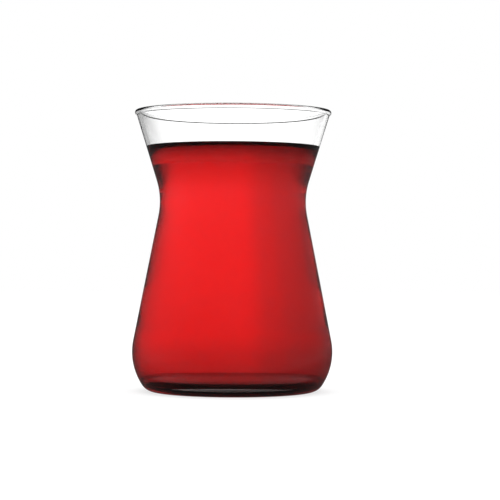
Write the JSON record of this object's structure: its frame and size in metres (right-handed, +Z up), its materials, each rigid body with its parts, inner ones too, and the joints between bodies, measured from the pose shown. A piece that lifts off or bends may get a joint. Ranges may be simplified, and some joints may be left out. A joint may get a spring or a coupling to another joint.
{
  "type": "filled tea glass",
  "caption": "Waisted clear tea glass with a flared rim, rounded belly and flat foot, filled with red tea to just under the rim.",
  "frame": {"origin": "middle of the foot, on the surface the glass stands on", "axes": "+Z up along the axis of the glass"},
  "size_m": [0.062, 0.062, 0.087],
  "materials": {
    "clear_glass": "clear fire-polished soda-lime glass",
    "red_tea": "clear deep red brewed tea"
  },
  "bodies": {
    "root": {"glass": "clear_glass", "tea": "red_tea"}
  },
  "joints": []
}
